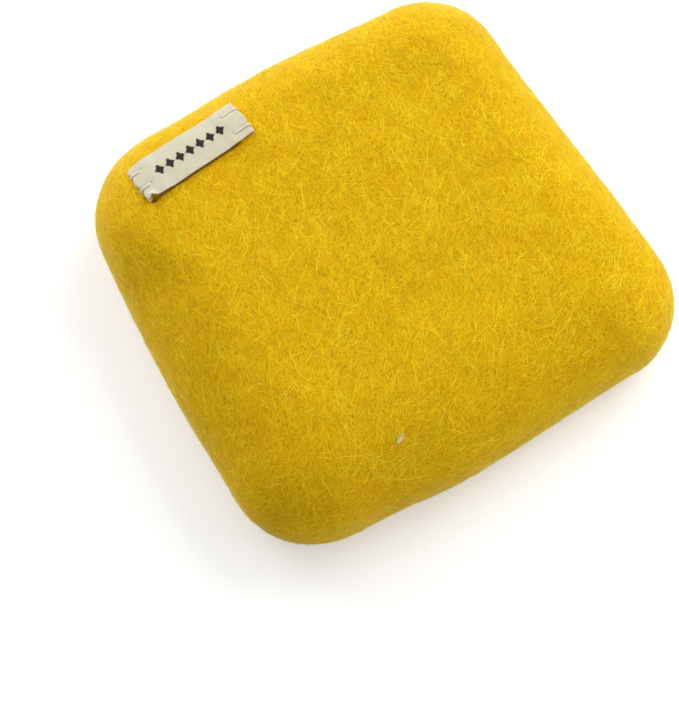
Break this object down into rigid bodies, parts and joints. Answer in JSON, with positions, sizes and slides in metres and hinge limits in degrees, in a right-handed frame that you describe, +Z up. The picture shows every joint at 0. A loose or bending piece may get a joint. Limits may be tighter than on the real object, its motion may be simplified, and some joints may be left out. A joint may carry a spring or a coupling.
{
  "type": "needle felting mat",
  "caption": "Soft square pad of felted wool with rounded edges and a small stitched fabric label, used as a base to push felting needles into.",
  "frame": {"origin": "middle of the flat underside, on the surface that the mat lies on", "axes": "+Z up through the mat's thickness, +X along the label, +Y towards the side that the label lies near"},
  "size_m": [0.203, 0.203, 0.0524],
  "materials": {
    "dyed_felt": "matte",
    "core_wool": "matte",
    "label_cotton": "matte",
    "label_thread": "matte"
  },
  "bodies": {
    "root": {"upper_felt_cover": "dyed_felt", "lower_felt_cover": "dyed_felt", "core_batt_1": "core_wool", "core_batt_2": "core_wool", "core_batt_3": "core_wool", "core_batt_4": "core_wool", "core_batt_5": "core_wool", "label_tape": "label_cotton", "label_thread_left": "label_thread", "label_thread_right": "label_thread"}
  },
  "joints": []
}
